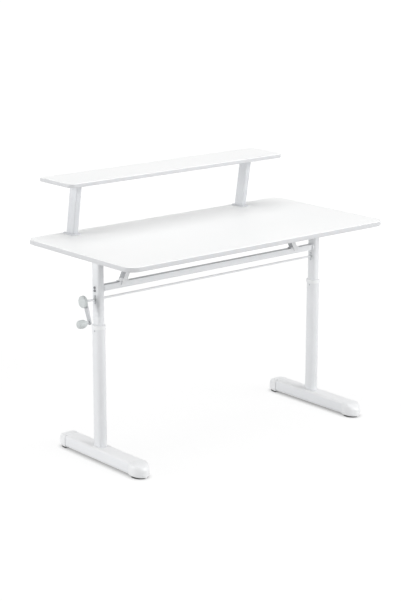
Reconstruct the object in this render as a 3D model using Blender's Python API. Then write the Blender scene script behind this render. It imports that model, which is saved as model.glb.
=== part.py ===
"""A hand cranked, height adjustable desk with a raised shelf.

Metres, +Z up, the user stands at -Y. X is measured from the middle between the columns, Y from the columns'
middle and Z from the floor. The whole desk is then moved so that the origin is under the middle of its box.
"""

import math

import bmesh
import bpy

for item in list(bpy.data.objects):
    bpy.data.objects.remove(item, do_unlink=True)

# Clearances
GAP = 0.0003
GUIDE_GAP = 0.0004

# Desktop and shelf boards with their edge bands. Each shift is from what carries the board.
DESK_LENGTH = 1.2
DESK_DEPTH = 0.6
DESK_THICK = 0.018
DESK_TOP = 0.765
DESK_FRONT_RADIUS = 0.046
DESK_BACK_RADIUS = 0.032
DESK_SHIFT = -0.005
SHELF_LENGTH = 1.008
SHELF_DEPTH = 0.188
SHELF_THICK = 0.015
SHELF_RISE = 0.203
SHELF_FRONT_RADIUS = 0.024
SHELF_BACK_RADIUS = 0.005
SHELF_SHIFT = -0.005
SHELF_OVERHANG = 0.041
BAND_WIDTH = 0.003
BAND_ROUND = 0.0025

# Shelf supports, set in from the shelf's ends and from the desktop's back edge
SUPPORT_INSET_LEFT = 0.079
SUPPORT_INSET_RIGHT = 0.128
SUPPORT_INSET_BACK = 0.041
SUPPORT_LEAN = 0.030
SUPPORT_WIDTH = 0.024
SUPPORT_DEPTH = 0.044
SUPPORT_CORNER = 0.005
SUPPORT_WALL = 0.002
PLATE_WIDTH = 0.040
PLATE_DEPTH = 0.064
PLATE_CORNER = 0.006
PLATE_THICK = 0.003

# Columns, set in from the ends of a centred desktop
COLUMN_INSET = 0.085
INNER_WIDTH = 0.028
INNER_DEPTH = 0.042
INNER_CORNER = 0.010
INNER_WALL = 0.0015
INNER_BOTTOM = 0.135
OUTER_WIDTH = 0.036
OUTER_DEPTH = 0.050
OUTER_CORNER = 0.016
OUTER_WALL = 0.002
OUTER_TOP = 0.4835
FLOOR_PLATE = 0.004
TOP_PLATE_WIDTH = 0.060
TOP_PLATE_DEPTH = 0.220
TOP_PLATE_CORNER = 0.008
TOP_PLATE_THICK = 0.003

# Collar and slide bush
COLLAR_PROUD = 0.0025
COLLAR_HEIGHT = 0.013
COLLAR_ROUND = 0.0016
SLEEVE_LENGTH = 0.034
BUSH_LIP = 0.0027
BUSH_HEIGHT = 0.028
BUSH_LIP_INSET = 0.0017

# Feet, whose reach is measured from the column's axis to the end of the tube
FOOT_WIDTH = 0.066
FOOT_BOTTOM = 0.007
FOOT_TOP = 0.052
FOOT_CORNER = 0.012
FOOT_WALL = 0.002
FOOT_REACH_FRONT = 0.203
FOOT_REACH_BACK = 0.170
CAP_PROUD = 0.001
CAP_BOTTOM = 0.0035
CAP_STRAIGHT = 0.018
CAP_DOME = 0.038
CAP_TIP_SHARE = 0.40
CAP_PLUG = 0.012
PAD_INSET = 0.007

# Drive axis below the desktop, gears and screws
ROD_DROP = 0.158
ROD_FLATS = 0.007
GEAR_NEAR = 0.006
GEAR_FAR = 0.010
GEAR_RELIEF = 0.0003
GEAR_TOOTH = 0.0011
GEAR_TEETH = 10
TOOTH_SHAPE = ((0.0, True), (0.35, True), (0.5, False), (0.85, False))
SCREW_RADIUS = 0.006
SCREW_BOTTOM = 0.150
SCREW_POINT = 0.0015
JOURNAL_RADIUS = 0.0035
SHOULDER_DROP = 0.0213
NUT_RADIUS = 0.010
NUT_BORE = 0.0063
NUT_BOTTOM = 0.4703
NUT_TOP = 0.490
POST_BORE = 0.0073
POST_PLUG = 0.020

# Gear housing, measured from the drive axis
HOUSING_DROP = 0.022
HOUSING_RISE = 0.020
CAVITY_HALF_WIDTH = 0.0102
CAVITY_HALF_DEPTH = 0.014
CAVITY_DROP = 0.0105
LEDGE_THICK = 0.0025
BEARING_RADIUS = 0.0095
BEARING_DROP = 0.021
HOUSING_SCREW_END = 0.0015

# Rod bushes in the column walls
ROD_BUSH_RADIUS = 0.0058
ROD_BUSH_FLANGE = 0.0076
ROD_BUSH_THICK = 0.0025
ROD_BUSH_CHAMFER = 0.0008

# Crossbeam below the desktop, and braces set in from the columns
BEAM_DROP = 0.121
BEAM_DEPTH = 0.020
BEAM_HEIGHT = 0.022
BEAM_CORNER = 0.0025
BEAM_WALL = 0.0015
END_PLATE_THICK = 0.004
END_PLATE_DEPTH = 0.034
END_PLATE_HEIGHT = 0.024
END_PLATE_CORNER = 0.009
END_PLATE_HOLE = 0.003
BRACE_INSET = 0.107
BRACE_LEAN = 0.054
BRACE_WIDTH = 0.020
BRACE_WALL = 0.002
BRACE_LAP = 0.012
BRACE_FLARE = 0.010
BRACE_TAB = 0.042
BRACE_TAB_THICK = 0.0025
BRACE_TAB_CORNER = 0.002

# Screws and bolts, whose places are measured from the part that they hold
BEAM_BOLT_SHANK = 0.003
BEAM_BOLT_HEAD = 0.0045
BEAM_BOLT_HEIGHT = 0.0035
BEAM_BOLT_RISE = 0.0054
HOUSING_SCREW_SHANK = 0.0022
HOUSING_SCREW_HEAD = 0.0042
HOUSING_SCREW_HEIGHT = 0.0022
HOUSING_SCREW_RISE = 0.0125
HOUSING_SCREW_FALL = 0.0127
COLLAR_SCREW_SHANK = 0.0015
COLLAR_SCREW_HEAD = 0.0032
COLLAR_SCREW_HEIGHT = 0.0012
COLLAR_SCREW_DROP = 0.007
COLUMN_BOLT_SHANK = 0.004
COLUMN_BOLT_HEAD = 0.0080
COLUMN_BOLT_HEIGHT = 0.0040
COLUMN_BOLT_LENGTH = 0.068
SOCKET_SHARE = 0.5
HEAD_CHAMFER = 0.0004

# Crank: the hub's face stands off the column's axis, and the knob stands off the arm
HUB_STANDOFF = 0.071
HUB_RADIUS = 0.0215
HUB_THICK = 0.0115
HUB_ROUND = 0.0015
HUB_SKIN = 0.003
ARM_THICK = 0.005
ARM_DROP = 0.070
ARM_FORWARD = 0.025
ARM_EYE = 0.0115
ARM_END = 0.0080
KNOB_STANDOFF = 0.0105
KNOB_LENGTH = 0.0353
KNOB_RADIUS = 0.0155
KNOB_NECK = 0.0078
KNOB_END = 0.0120
KNOB_BELLY = 0.55
PIN_RADIUS = 0.004
PIN_END_SKIN = 0.005

# Outline steps
ROUND_STEPS = 12
CORNER_STEPS = 6
BOARD_STEPS = 8

# Paint and plastic: colour, roughness, metallic
WHITE_PAINT = ((0.80, 0.81, 0.82), 0.38, 0.0)
WHITE_LAMINATE = ((0.88, 0.88, 0.88), 0.45, 0.0)
WHITE_EDGE = ((0.74, 0.75, 0.76), 0.40, 0.0)
WHITE_PLASTIC = ((0.78, 0.79, 0.80), 0.45, 0.0)
GREY_PLASTIC = ((0.52, 0.55, 0.54), 0.50, 0.0)
DARK_RUBBER = ((0.05, 0.05, 0.05), 0.80, 0.0)
ZINC_STEEL = ((0.45, 0.46, 0.48), 0.35, 1.0)
CAST_ALUMINIUM = ((0.60, 0.61, 0.62), 0.50, 1.0)
YELLOW_BRASS = ((0.60, 0.45, 0.18), 0.35, 1.0)

SIDES = (("left", -1.0), ("right", 1.0))


def rounded(width, depth, corner, back_corner=None, steps=CORNER_STEPS):
    """Outline of a rectangle with rounded corners, counter-clockwise, centred on 0, 0."""
    back = corner if back_corner is None else back_corner
    quarters = ((1, 1, back), (-1, 1, back), (-1, -1, corner), (1, -1, corner))
    points = []
    for index, (right, rear, radius) in enumerate(quarters):
        centre_a = right * (width / 2 - radius)
        centre_b = rear * (depth / 2 - radius)
        for step in range(steps + 1):
            turn = math.pi / 2 * (index + step / steps)
            points.append((centre_a + radius * math.cos(turn), centre_b + radius * math.sin(turn)))
    return points


def flat(outline, height, shift_x=0.0, shift_y=0.0):
    """An outline laid level at a height."""
    return [(a + shift_x, b + shift_y, height) for a, b in outline]


def facing_x(outline, along):
    """An outline whose first measure runs along Y and second along Z."""
    return [(along, a, b) for a, b in outline]


def facing_y(outline, along, height=0.0):
    """An outline whose first measure runs along X and second along Z."""
    return [(a, along, b + height) for a, b in outline]


def turned(profile, steps, axis="Z", centre=(0.0, 0.0, 0.0)):
    """Rings of a turned shape, one for each radius and distance along the axis."""
    rings = []
    for radius, along in profile:
        ring = []
        for step in range(steps):
            turn = 2 * math.pi * (step + 0.5) / steps
            a = radius * math.cos(turn)
            b = radius * math.sin(turn)
            point = (along, a, b) if axis == "X" else (a, b, along)
            ring.append(tuple(p + c for p, c in zip(point, centre)))
        rings.append(ring)
    return rings


def mesh_of(name, shells):
    """One mesh from shells of rings. A looped shell joins its last ring to its first, another is capped."""
    work = bmesh.new()
    for rings, looped in shells:
        rows = [[work.verts.new(point) for point in ring] for ring in rings]
        following = rows[1:] + rows[:1] if looped else rows[1:]
        for low, high in zip(rows, following):
            for index in range(len(low)):
                after = (index + 1) % len(low)
                work.faces.new((low[index], low[after], high[after], high[index]))
        if not looped:
            work.faces.new(rows[0])
            work.faces.new(rows[-1])
    bmesh.ops.recalc_face_normals(work, faces=work.faces)
    mesh = bpy.data.meshes.new(name)
    work.to_mesh(mesh)
    work.free()
    return mesh


def empty(name, parent, at):
    """A pivot, placed from the middle between the columns, on the floor."""
    pivot = bpy.data.objects.new(name, None)
    bpy.context.scene.collection.objects.link(pivot)
    put(pivot, parent, at)
    return pivot


def put(thing, parent, at):
    """Parents a thing and places it by its distance from its parent."""
    thing["at"] = at
    thing.parent = parent
    origin = parent["at"] if parent else (0.0, 0.0, 0.0)
    thing.location = [a - b for a, b in zip(at, origin)]


def piece(name, shells, finish, parent, at, smooth_below=35.0):
    """One sub-part with a material of its own."""
    colour, roughness, metallic = finish
    mesh = mesh_of(name, shells)
    mesh.polygons.foreach_set("use_smooth", [True] * len(mesh.polygons))
    mesh.set_sharp_from_angle(angle=math.radians(smooth_below))
    material = bpy.data.materials.new(name)
    material.use_nodes = True
    shader = material.node_tree.nodes["Principled BSDF"]
    shader.inputs["Base Color"].default_value = (*colour, 1.0)
    shader.inputs["Roughness"].default_value = roughness
    shader.inputs["Metallic"].default_value = metallic
    mesh.materials.append(material)
    made = bpy.data.objects.new(name, mesh)
    bpy.context.scene.collection.objects.link(made)
    put(made, parent, at)
    return made


def work_on(target, label, shells, operation="DIFFERENCE"):
    """Cuts a tool out of a piece, or joins it on, in the piece's own frame."""
    tool = bpy.data.objects.new(f"{target.name}_{label}", mesh_of(label, shells))
    bpy.context.scene.collection.objects.link(tool)
    tool.parent = target
    tool.hide_render = True
    tool.display_type = "WIRE"
    step = target.modifiers.new(label, "BOOLEAN")
    step.operation = operation
    step.solver = "EXACT"
    step.object = tool


def drum(radius, start, stop, axis="Z", centre=(0.0, 0.0, 0.0), steps=16):
    """A straight cylinder as one capped shell."""
    return turned(((radius, start), (radius, stop)), steps, axis, centre), False


def block(width, depth, low, high):
    """A box as one capped shell, centred on 0, 0."""
    a, b = width / 2, depth / 2
    outline = [(-a, -b), (a, -b), (a, b), (-a, b)]
    return [flat(outline, low), flat(outline, high)], False


def screw(shank, head, height, start, direction, length, axis, steps=14):
    """A socket head screw. Its head sits on a face at start and its shank runs on in the direction given."""
    socket = head * SOCKET_SHARE
    top = start - direction * height
    profile = (
        (socket, start - direction * height * (1 - SOCKET_SHARE)),
        (socket, top),
        (head - HEAD_CHAMFER, top),
        (head, top + direction * HEAD_CHAMFER),
        (head, start),
        (shank, start),
        (shank, start + direction * length),
    )
    return turned(profile, steps, axis), False


# The pivots, under one base that moves the origin under the middle of the box
column_x = DESK_LENGTH / 2 - COLUMN_INSET
desk_underside = DESK_TOP - DESK_THICK
beam_z = desk_underside - BEAM_DROP
rod_z = desk_underside - ROD_DROP
hub_outer_x = -column_x - HUB_STANDOFF
hub_middle_x = hub_outer_x + HUB_THICK / 2
arm_outer_x = hub_outer_x + HUB_THICK + GAP
knob_inner_x = arm_outer_x - KNOB_STANDOFF
knob_outer_x = knob_inner_x - KNOB_LENGTH
desk_right_x = DESK_SHIFT + DESK_LENGTH / 2
base = empty("base", None, (0.0, 0.0, 0.0))
base.location = (-(knob_outer_x + desk_right_x) / 2, -SHELF_OVERHANG / 2, 0.0)
lift = empty("lift", base, (0.0, 0.0, 0.0))
crank = empty("crank", lift, (hub_middle_x, 0.0, rod_z))
knob_axis = empty("knob", crank, (knob_inner_x, -ARM_FORWARD, rod_z - ARM_DROP))
screw_axes = {side: empty(f"screw_{side}", lift, (sign * column_x, 0.0, rod_z)) for side, sign in SIDES}


# Feet: flattened tube along Y
def foot_outline(grow):
    width = FOOT_WIDTH + 2 * grow
    height = FOOT_TOP - FOOT_BOTTOM + 2 * grow
    return rounded(width, height, FOOT_CORNER + grow)


foot_middle_z = (FOOT_TOP + FOOT_BOTTOM) / 2
for side, sign in SIDES:
    outer = foot_outline(0.0)
    inner = foot_outline(-FOOT_WALL)
    rings = [
        facing_y(outer, -FOOT_REACH_FRONT),
        facing_y(outer, FOOT_REACH_BACK),
        facing_y(inner, FOOT_REACH_BACK),
        facing_y(inner, -FOOT_REACH_FRONT),
    ]
    at = (sign * column_x, 0.0, foot_middle_z)
    foot = piece(f"foot_{side}", [(rings, True)], WHITE_PAINT, base, at)
    work_on(foot, "bolt_hole", [drum(COLUMN_BOLT_SHANK + GAP, -FOOT_TOP, FOOT_TOP)])


# Foot caps: a plug inside the tube, a straight skirt and a dome that slopes down to a blunt tip
def cap_rings(end, outward):
    """Rings from the plug's end to the tip. Outward is -1 towards the user and 1 towards the back."""
    plug = foot_outline(-FOOT_WALL - GAP)
    near = end + outward * GAP
    full_width = FOOT_WIDTH + 2 * CAP_PROUD
    full_height = FOOT_TOP + CAP_PROUD - CAP_BOTTOM
    rings = [facing_y(plug, end - outward * CAP_PLUG, foot_middle_z), facing_y(plug, near, foot_middle_z)]
    places = [(near, 0.0)]
    for step in range(ROUND_STEPS):
        turn = math.pi / 2 * step / ROUND_STEPS
        places.append((end + outward * (CAP_STRAIGHT + CAP_DOME * math.sin(turn)), turn))
    for along, turn in places:
        width = full_width * math.cos(turn)
        height = full_height * (CAP_TIP_SHARE + (1 - CAP_TIP_SHARE) * math.cos(turn))
        corner = min(FOOT_CORNER + CAP_PROUD, width / 2 - GAP, height / 2 - GAP)
        rings.append(facing_y(rounded(width, height, corner), along, CAP_BOTTOM + height / 2))
    return rings


# Foot pads: a flat pad under each cap, round at the tip
def pad_outline(end, outward):
    half = FOOT_WIDTH / 2 + CAP_PROUD - PAD_INSET
    near = end + outward * PAD_INSET
    far = end + outward * CAP_STRAIGHT
    reach = outward * (CAP_DOME - PAD_INSET)
    turns = [math.pi * step / ROUND_STEPS for step in range(ROUND_STEPS + 1)]
    arc = [(half * math.cos(turn), far + reach * math.sin(turn)) for turn in turns]
    return arc + [(-half, near), (half, near)]


for side, sign in SIDES:
    for place, end, outward in (("front", -FOOT_REACH_FRONT, -1.0), ("back", FOOT_REACH_BACK, 1.0)):
        at = (sign * column_x, 0.0, 0.0)
        piece(f"foot_cap_{side}_{place}", [(cap_rings(end, outward), False)], WHITE_PLASTIC, base, at)
        outline = pad_outline(end, outward)
        rings = [flat(outline, 0.0), flat(outline, CAP_BOTTOM - GAP)]
        piece(f"foot_pad_{side}_{place}", [(rings, False)], DARK_RUBBER, base, at)

# Outer columns: a tube closed below by its welded floor plate
outer_bottom = FOOT_TOP + GAP
post_bottom = outer_bottom + FLOOR_PLATE + GAP
collar_screw_z = OUTER_TOP - COLLAR_SCREW_DROP
for side, sign in SIDES:
    outside = rounded(OUTER_WIDTH, OUTER_DEPTH, OUTER_CORNER)
    inside = rounded(OUTER_WIDTH - 2 * OUTER_WALL, OUTER_DEPTH - 2 * OUTER_WALL, OUTER_CORNER - OUTER_WALL)
    rings = [
        flat(inside, outer_bottom + FLOOR_PLATE),
        flat(inside, OUTER_TOP),
        flat(outside, OUTER_TOP),
        flat(outside, outer_bottom),
    ]
    column = piece(f"outer_column_{side}", [(rings, False)], WHITE_PAINT, base, (sign * column_x, 0.0, 0.0))
    collar_hole = drum(COLLAR_SCREW_SHANK + GAP, -OUTER_WIDTH, 0.0, "X", (0.0, 0.0, collar_screw_z), 14)
    bolt_hole = drum(COLUMN_BOLT_SHANK + GAP, 0.0, post_bottom)
    work_on(column, "screw_holes", [collar_hole, bolt_hole])

# Column bolts: up through the foot and the floor plate into the nut post
for side, sign in SIDES:
    sizes = (COLUMN_BOLT_SHANK, COLUMN_BOLT_HEAD, COLUMN_BOLT_HEIGHT)
    bolt = screw(*sizes, FOOT_BOTTOM - GAP, 1.0, COLUMN_BOLT_LENGTH, "Z", 16)
    piece(f"column_bolt_{side}", [bolt], ZINC_STEEL, base, (sign * column_x, 0.0, 0.0))

# Nut posts: a tube with a solid plug below, and the brass nut on top
for side, sign in SIDES:
    post_top = NUT_BOTTOM - GAP
    bolt_bore = COLUMN_BOLT_SHANK + GAP
    profile = (
        (bolt_bore, FOOT_BOTTOM + COLUMN_BOLT_LENGTH),
        (bolt_bore, post_bottom),
        (NUT_RADIUS, post_bottom),
        (NUT_RADIUS, post_top),
        (POST_BORE, post_top),
        (POST_BORE, post_bottom + POST_PLUG),
    )
    piece(f"nut_post_{side}", [(turned(profile, 20), False)], ZINC_STEEL, base, (sign * column_x, 0.0, 0.0))
    profile = ((NUT_BORE, NUT_BOTTOM), (NUT_RADIUS, NUT_BOTTOM), (NUT_RADIUS, NUT_TOP), (NUT_BORE, NUT_TOP))
    piece(f"lead_nut_{side}", [(turned(profile, 20), True)], YELLOW_BRASS, base, (sign * column_x, 0.0, 0.0))

# Collars: a ring on the outer column's mouth with a sleeve down inside it
collar_bottom = OUTER_TOP + GAP
collar_top = collar_bottom + COLLAR_HEIGHT
sleeve_bottom = collar_bottom - SLEEVE_LENGTH
cavity_width = OUTER_WIDTH - 2 * OUTER_WALL
cavity_depth = OUTER_DEPTH - 2 * OUTER_WALL
sleeve_corner = OUTER_CORNER - OUTER_WALL - GAP
for side, sign in SIDES:
    grown = 2 * COLLAR_PROUD
    ring = rounded(OUTER_WIDTH + grown, OUTER_DEPTH + grown, OUTER_CORNER + COLLAR_PROUD)
    shrunk = grown - 2 * COLLAR_ROUND
    top_ring = rounded(OUTER_WIDTH + shrunk, OUTER_DEPTH + shrunk, OUTER_CORNER + COLLAR_PROUD - COLLAR_ROUND)
    bore = rounded(INNER_WIDTH + 2 * GUIDE_GAP, INNER_DEPTH + 2 * GUIDE_GAP, INNER_CORNER + GUIDE_GAP)
    sleeve = rounded(cavity_width - 2 * GAP, cavity_depth - 2 * GAP, sleeve_corner)
    rings = [
        flat(ring, collar_bottom),
        flat(ring, collar_top - COLLAR_ROUND),
        flat(top_ring, collar_top),
        flat(bore, collar_top),
        flat(bore, sleeve_bottom),
        flat(sleeve, sleeve_bottom),
        flat(sleeve, collar_bottom),
    ]
    collar = piece(f"collar_{side}", [(rings, True)], WHITE_PLASTIC, base, (sign * column_x, 0.0, 0.0))
    hole_radius = COLLAR_SCREW_SHANK + GAP
    hole_stop = -(INNER_WIDTH / 2 - INNER_WALL)
    hole = drum(hole_radius, -OUTER_WIDTH, hole_stop, "X", (0.0, 0.0, collar_screw_z), 14)
    work_on(collar, "screw_hole", [hole])

# Collar screws: through the outer column into the sleeve
for side, sign in SIDES:
    start = -(OUTER_WIDTH / 2 + GAP)
    length = -start - INNER_WIDTH / 2 - GUIDE_GAP - GAP
    collar_screw = screw(COLLAR_SCREW_SHANK, COLLAR_SCREW_HEAD, COLLAR_SCREW_HEIGHT, start, 1.0, length, "X")
    at = (sign * column_x, 0.0, collar_screw_z)
    piece(f"collar_screw_{side}", [collar_screw], ZINC_STEEL, base, at)

# Inner columns: a tube under its welded top plate
column_top = desk_underside - GAP - TOP_PLATE_THICK
screw_heights = (HOUSING_SCREW_RISE, -HOUSING_SCREW_FALL)
bolt_heights = (beam_z + BEAM_BOLT_RISE, beam_z - BEAM_BOLT_RISE)
for side, sign in SIDES:
    outside = rounded(INNER_WIDTH, INNER_DEPTH, INNER_CORNER)
    inside = rounded(INNER_WIDTH - 2 * INNER_WALL, INNER_DEPTH - 2 * INNER_WALL, INNER_CORNER - INNER_WALL)
    plate = rounded(TOP_PLATE_WIDTH, TOP_PLATE_DEPTH, TOP_PLATE_CORNER)
    rings = [
        flat(inside, column_top),
        flat(inside, INNER_BOTTOM),
        flat(outside, INNER_BOTTOM),
        flat(outside, column_top),
        flat(plate, column_top),
        flat(plate, desk_underside - GAP),
    ]
    column = piece(f"inner_column_{side}", [(rings, False)], WHITE_PAINT, lift, (sign * column_x, 0.0, 0.0))
    holes = []
    for height in bolt_heights:
        holes.append(drum(BEAM_BOLT_SHANK + GAP, -INNER_WIDTH, INNER_WIDTH, "X", (0.0, 0.0, height), 14))
    for rise in screw_heights:
        holes.append(drum(HOUSING_SCREW_SHANK + GAP, -INNER_WIDTH, 0.0, "X", (0.0, 0.0, rod_z + rise), 14))
    rod_stop = INNER_WIDTH if side == "left" else 0.0
    holes.append(drum(ROD_BUSH_RADIUS + GAP, -INNER_WIDTH, rod_stop, "X", (0.0, 0.0, rod_z), 20))
    work_on(column, "holes", holes)

# Slide bushes: round the lower end of each inner column
for side, sign in SIDES:
    outside = rounded(cavity_width - 2 * GAP, cavity_depth - 2 * GAP, sleeve_corner)
    inside = rounded(INNER_WIDTH + 2 * GAP, INNER_DEPTH + 2 * GAP, INNER_CORNER + GAP)
    narrow = 2 * BUSH_LIP_INSET
    lip = rounded(INNER_WIDTH - narrow, INNER_DEPTH - narrow, INNER_CORNER - BUSH_LIP_INSET)
    seat = INNER_BOTTOM - GAP
    rings = [
        flat(outside, seat - BUSH_LIP),
        flat(outside, seat - BUSH_LIP + BUSH_HEIGHT),
        flat(inside, seat - BUSH_LIP + BUSH_HEIGHT),
        flat(inside, seat),
        flat(lip, seat),
        flat(lip, seat - BUSH_LIP),
    ]
    piece(f"slide_bush_{side}", [(rings, True)], GREY_PLASTIC, lift, (sign * column_x, 0.0, 0.0))

# Gear housings: a cast block inside the top of each inner column
rod_radius = ROD_FLATS / 2 / math.cos(math.pi / 6)
rod_bore = rod_radius + 2 * GAP
bearing_top = CAVITY_DROP + LEDGE_THICK
housing_half_width = INNER_WIDTH / 2 - INNER_WALL - GAP
housing_half_depth = INNER_DEPTH / 2 - INNER_WALL - GAP
for side, sign in SIDES:
    outline = rounded(2 * housing_half_width, 2 * housing_half_depth, INNER_CORNER - INNER_WALL - GAP)
    rings = [flat(outline, -HOUSING_DROP), flat(outline, HOUSING_RISE)]
    at = (sign * column_x, 0.0, rod_z)
    housing = piece(f"gear_housing_{side}", [(rings, False)], CAST_ALUMINIUM, lift, at)
    cavity = block(2 * CAVITY_HALF_WIDTH, 2 * CAVITY_HALF_DEPTH, -CAVITY_DROP, 2 * HOUSING_RISE)
    work_on(housing, "cavity", [cavity])
    pocket = drum(BEARING_RADIUS + GAP, -2 * HOUSING_DROP, -bearing_top, steps=24)
    work_on(housing, "bearing_pocket", [pocket])
    work_on(housing, "ledge_hole", [drum(JOURNAL_RADIUS + 2 * GAP, -HOUSING_DROP, 0.0, steps=16)])
    work_on(housing, "rod_bore", [drum(rod_bore, -INNER_WIDTH, INNER_WIDTH, "X", steps=20)])
    hole_radius = HOUSING_SCREW_SHANK + GAP
    hole_stop = -BEARING_RADIUS - HOUSING_SCREW_END + GAP
    holes = [drum(hole_radius, -INNER_WIDTH, hole_stop, "X", (0.0, 0.0, rise), 14) for rise in screw_heights]
    work_on(housing, "screw_holes", holes)

# Gear housing screws: from the crank's side through the column wall
for side, sign in SIDES:
    for place, rise in zip(("high", "low"), screw_heights):
        start = -(INNER_WIDTH / 2 + GAP)
        length = -start - BEARING_RADIUS - HOUSING_SCREW_END
        sizes = (HOUSING_SCREW_SHANK, HOUSING_SCREW_HEAD, HOUSING_SCREW_HEIGHT)
        housing_screw = screw(*sizes, start, 1.0, length, "X")
        at = (sign * column_x, 0.0, rod_z + rise)
        piece(f"housing_screw_{side}_{place}", [housing_screw], ZINC_STEEL, lift, at)

# Rod bushes: flanged rings where the drive rod passes the column walls
bushes = (("left_outer", -1.0, -1.0), ("left_inner", -1.0, 1.0), ("right_inner", 1.0, -1.0))
for name, sign, outward in bushes:
    wall_out = outward * (INNER_WIDTH / 2 + GAP)
    profile = (
        (rod_bore, outward * (housing_half_width + GAP)),
        (ROD_BUSH_RADIUS, outward * (housing_half_width + GAP)),
        (ROD_BUSH_RADIUS, wall_out),
        (ROD_BUSH_FLANGE, wall_out),
        (ROD_BUSH_FLANGE - ROD_BUSH_CHAMFER, wall_out + outward * ROD_BUSH_THICK),
        (rod_bore, wall_out + outward * ROD_BUSH_THICK),
    )
    rings = turned(profile, 20, "X")
    piece(f"rod_bush_{name}", [(rings, True)], GREY_PLASTIC, lift, (sign * column_x, 0.0, rod_z))

# Thrust bearings: between the housing's ledge and the lead screw's shoulder
for side, sign in SIDES:
    bearing_bore = JOURNAL_RADIUS + GAP
    high = -bearing_top - GAP
    profile = (
        (bearing_bore, -BEARING_DROP),
        (BEARING_RADIUS, -BEARING_DROP),
        (BEARING_RADIUS, high),
        (bearing_bore, high),
    )
    rings = turned(profile, 24)
    piece(f"thrust_bearing_{side}", [(rings, True)], ZINC_STEEL, lift, (sign * column_x, 0.0, rod_z))

# Lead screws, turning in the housings and driven through the nuts
for side, sign in SIDES:
    foot_end = SCREW_BOTTOM - rod_z
    profile = (
        (SCREW_RADIUS - SCREW_POINT, foot_end),
        (SCREW_RADIUS, foot_end + SCREW_POINT),
        (SCREW_RADIUS, -SHOULDER_DROP),
        (JOURNAL_RADIUS, -SHOULDER_DROP),
        (JOURNAL_RADIUS, -GEAR_NEAR - GAP),
    )
    at = (sign * column_x, 0.0, rod_z)
    piece(f"lead_screw_{side}", [(turned(profile, 16), False)], ZINC_STEEL, screw_axes[side], at)


# Bevel gears: a pair on each lead screw, at equal angles to their meeting point
def gear_rings(axis, bore, towards):
    """A bevel gear whose teeth narrow towards the meeting point of the axes."""
    def toothed(distance):
        tip = distance - GEAR_RELIEF
        root = tip - GEAR_TOOTH * distance / GEAR_FAR
        return [(tip if high else root, 2 * math.pi * (tooth + share) / GEAR_TEETH)
                for tooth in range(GEAR_TEETH) for share, high in TOOTH_SHAPE]

    def ring(corners, along):
        outline = [(radius * math.cos(turn), radius * math.sin(turn)) for radius, turn in corners]
        return facing_x(outline, along) if axis == "X" else flat(outline, along)

    near_teeth = toothed(GEAR_NEAR)
    bored = [(bore, turn) for _, turn in near_teeth]
    near = towards * GEAR_NEAR
    far = towards * GEAR_FAR
    return [ring(near_teeth, near), ring(toothed(GEAR_FAR), far), ring(bored, far), ring(bored, near)], True


for side, sign in SIDES:
    at = (sign * column_x, 0.0, rod_z)
    driven = gear_rings("Z", JOURNAL_RADIUS + GAP, -1.0)
    piece(f"driven_gear_{side}", [driven], ZINC_STEEL, screw_axes[side], at)
    piece(f"drive_gear_{side}", [gear_rings("X", rod_bore, 1.0)], ZINC_STEEL, crank, at)

# Drive rod: a hexagon from the crank hub to the right housing
rod_start = hub_outer_x + HUB_SKIN + GAP
rod_stop = column_x + housing_half_width - GAP
rod = drum(rod_radius, rod_start - hub_middle_x, rod_stop - hub_middle_x, "X", steps=6)
piece("drive_rod", [rod], ZINC_STEEL, crank, (hub_middle_x, 0.0, rod_z))

# Crank hub: a round plastic cap on the rod's end
hub_inner = HUB_THICK / 2
profile = (
    (rod_radius + GAP, -hub_inner + HUB_SKIN),
    (rod_radius + GAP, hub_inner),
    (HUB_RADIUS - HUB_ROUND, hub_inner),
    (HUB_RADIUS, hub_inner - HUB_ROUND),
    (HUB_RADIUS, -hub_inner + HUB_ROUND),
    (HUB_RADIUS - HUB_ROUND, -hub_inner),
)
piece("crank_hub", [(turned(profile, 32, "X"), False)], GREY_PLASTIC, crank, (hub_middle_x, 0.0, rod_z))

# Crank arm with its riveted pin
arm_near = arm_outer_x - hub_middle_x
arm_far = arm_near + ARM_THICK
heading = math.atan2(-ARM_DROP, -ARM_FORWARD)
arm_outline = []
for step in range(ROUND_STEPS + 1):
    turn = heading + math.pi / 2 + math.pi * step / ROUND_STEPS
    arm_outline.append((ARM_EYE * math.cos(turn), ARM_EYE * math.sin(turn)))
for step in range(ROUND_STEPS + 1):
    turn = heading - math.pi / 2 + math.pi * step / ROUND_STEPS
    arm_outline.append((-ARM_FORWARD + ARM_END * math.cos(turn), -ARM_DROP + ARM_END * math.sin(turn)))
rings = [facing_x(arm_outline, arm_near), facing_x(arm_outline, arm_far)]
arm = piece("crank_arm", [(rings, False)], WHITE_PAINT, crank, (hub_middle_x, 0.0, rod_z))
work_on(arm, "rod_hole", [drum(rod_radius + GAP, 0.0, 2 * arm_far, "X", steps=20)])
pin_stop = knob_outer_x + PIN_END_SKIN + GAP - hub_middle_x
pin = drum(PIN_RADIUS, pin_stop, arm_near + ARM_THICK / 2, "X", (0.0, -ARM_FORWARD, -ARM_DROP))
work_on(arm, "pin", [pin], "UNION")

# Crank knob: a barrel that turns freely on the pin
profile = [(PIN_RADIUS + GAP, PIN_END_SKIN - KNOB_LENGTH), (PIN_RADIUS + GAP, 0.0)]
for step in range(ROUND_STEPS + 1):
    share = step / ROUND_STEPS
    if share < KNOB_BELLY:
        radius = KNOB_NECK + (KNOB_RADIUS - KNOB_NECK) * math.sin(math.pi / 2 * share / KNOB_BELLY)
    else:
        past = (share - KNOB_BELLY) / (1 - KNOB_BELLY)
        radius = KNOB_END + (KNOB_RADIUS - KNOB_END) * math.sqrt(1 - past * past)
    profile.append((radius, -share * KNOB_LENGTH))
at = (knob_inner_x, -ARM_FORWARD, rod_z - ARM_DROP)
piece("crank_knob", [(turned(profile, 24, "X"), False)], GREY_PLASTIC, knob_axis, at)

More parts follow.
